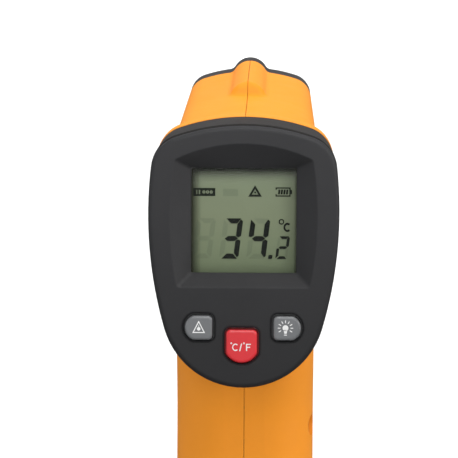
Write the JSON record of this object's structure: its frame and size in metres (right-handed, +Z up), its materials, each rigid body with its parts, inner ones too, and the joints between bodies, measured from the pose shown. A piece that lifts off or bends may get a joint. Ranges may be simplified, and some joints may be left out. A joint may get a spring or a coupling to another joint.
{
  "type": "infrared thermometer",
  "caption": "Pistol-grip infrared thermometer with an egg-shaped rear display head, boxy barrel with a laser ridge, hinged trigger and a swing-out battery door in the handle.",
  "frame": {"origin": "middle of the flat foot of the handle", "axes": "+Z up from the foot to the laser ridge; +Y towards the nose, the way it is aimed; +X to the right of the person holding it. The display faces -Y and leans back 15 degrees."},
  "size_m": [0.043, 0.1008, 0.1524],
  "materials": {
    "yellow_shell": "fine spark-eroded texture",
    "dark_shell": "fine spark-eroded texture",
    "trigger_plastic": "satin",
    "grey_key": "semi-gloss",
    "red_key": "semi-gloss",
    "clear_window": "polished",
    "lcd_glass": "satin",
    "lens_plastic": "milky",
    "light_guide": "frosted",
    "zebra_rubber": "matt",
    "white_plastic": "matt",
    "black_plastic": "matt",
    "circuit_board": "lacquered",
    "steel": "bright",
    "spring_steel": "bright",
    "brass": "turned",
    "tinned_steel": "bright",
    "cell_wrap": "printed sleeve without lettering",
    "wire_sleeve": "satin",
    "black_sleeve": "satin"
  },
  "bodies": {
    "housing": {"left_shell": "yellow_shell", "right_shell": "yellow_shell", "nose_cap": "dark_shell", "laser_window": "clear_window", "bezel_rim": "dark_shell", "display_bezel": "dark_shell", "display_window": "clear_window", "key_switch_bodies": "black_plastic", "trigger_pivot_pin": "steel", "trigger_return_spring": "spring_steel", "trigger_board": "circuit_board", "trigger_switch_body": "black_plastic", "battery_door_hinge_pin": "steel", "battery_cradle": "black_plastic", "battery_left": "cell_wrap", "battery_right": "cell_wrap", "battery_contacts": "tinned_steel", "battery_springs": "spring_steel", "optics_tube": "black_plastic", "fresnel_lens": "lens_plastic", "thermopile_sensor": "tinned_steel", "sensor_board": "circuit_board", "sensor_connector": "white_plastic", "laser_module": "brass", "lcd_panel": "lcd_glass", "lcd_backlight": "light_guide", "lcd_zebra_strip": "zebra_rubber", "lcd_holder": "white_plastic", "main_board": "circuit_board", "controller_chip": "black_plastic", "buzzer": "black_plastic", "board_components": "black_plastic", "board_connector": "white_plastic", "board_screws": "steel", "shell_screws": "steel", "sensor_harness": "black_sleeve", "laser_leads": "wire_sleeve", "trigger_leads": "black_sleeve", "battery_leads": "wire_sleeve"},
    "laser_key": {"laser_button": "grey_key", "laser_switch_stem": "white_plastic"},
    "unit_key": {"unit_button": "red_key", "unit_switch_stem": "white_plastic"},
    "backlight_key": {"backlight_button": "grey_key", "backlight_switch_stem": "white_plastic"},
    "trigger_lever": {"trigger": "trigger_plastic"},
    "trigger_plunger": {"trigger_switch_plunger": "white_plastic"},
    "battery_cover": {"battery_door": "dark_shell"}
  },
  "joints": [
    {"name": "laser_key_slide", "type": "slide", "parent": "housing", "child": "laser_key", "axis": [0, 0.9659, -0.2588], "range_m": [0, 0.0005], "stiffness_N_per_m": 1500},
    {"name": "unit_key_slide", "type": "slide", "parent": "housing", "child": "unit_key", "axis": [0, 0.9659, -0.2588], "range_m": [0, 0.0005], "stiffness_N_per_m": 1500},
    {"name": "backlight_key_slide", "type": "slide", "parent": "housing", "child": "backlight_key", "axis": [0, 0.9659, -0.2588], "range_m": [0, 0.0005], "stiffness_N_per_m": 1500},
    {"name": "trigger_hinge", "type": "hinge", "parent": "housing", "child": "trigger_lever", "pos_m": [0, 0.037, 0.1155], "axis": [-1, 0, 0], "range_deg": [0, 6], "stiffness_Nm_per_rad": 0.8, "springref_deg": -2.86, "deforming": ["trigger_return_spring"]},
    {"name": "trigger_plunger_slide", "type": "slide", "parent": "housing", "child": "trigger_plunger", "axis": [0, -1, 0], "range_m": [0, 0.0016]},
    {"name": "battery_door_hinge", "type": "hinge", "parent": "housing", "child": "battery_cover", "pos_m": [0, 0.0166, 0.0094], "axis": [-1, 0, 0], "range_deg": [0, 75]}
  ],
  "couplings": [
    {"joint": "trigger_plunger_slide", "follows": "trigger_hinge", "m_per_rad": 0.0125}
  ]
}
